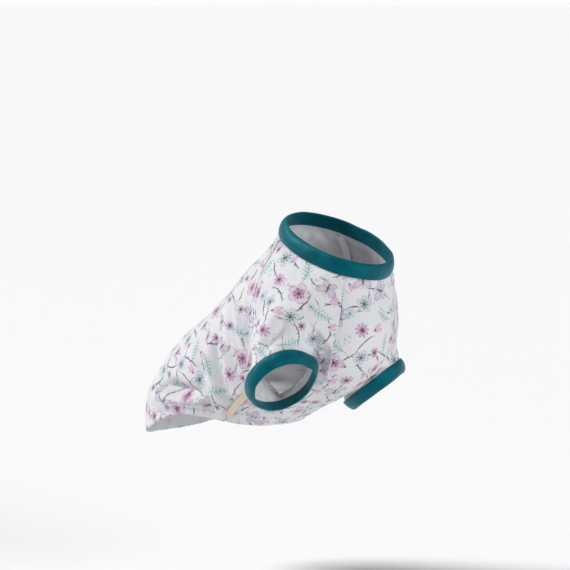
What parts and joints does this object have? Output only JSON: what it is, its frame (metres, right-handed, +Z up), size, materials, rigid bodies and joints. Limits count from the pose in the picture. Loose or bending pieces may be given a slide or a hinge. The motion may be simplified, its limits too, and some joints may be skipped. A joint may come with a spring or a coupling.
{
  "type": "pet t-shirt",
  "caption": "Small short-sleeved raglan T-shirt for a toy-size pet, in printed jersey with a banded neck and cuffs, in its worn form.",
  "frame": {"origin": "middle of the neck opening, at the seam of its band", "axes": "+Z up as worn sitting; the front faces -Y and the wearer's right is -X"},
  "size_m": [0.1582, 0.2305, 0.1756],
  "materials": {
    "chest_jersey": "matt printed single jersey",
    "back_jersey": "matt printed single jersey",
    "sleeve_jersey_right": "matt printed single jersey",
    "cuff_jersey_right": "matt rib-knit jersey",
    "sleeve_jersey_left": "matt printed single jersey",
    "cuff_jersey_left": "matt rib-knit jersey",
    "neck_jersey": "matt rib-knit jersey",
    "cream_tape": "ribbed cotton tape"
  },
  "bodies": {
    "root": {"chest_panel": "chest_jersey", "back_panel": "back_jersey", "sleeve_right": "sleeve_jersey_right", "cuff_right": "cuff_jersey_right", "sleeve_left": "sleeve_jersey_left", "cuff_left": "cuff_jersey_left", "neck_band": "neck_jersey", "side_tape": "cream_tape"}
  },
  "joints": []
}
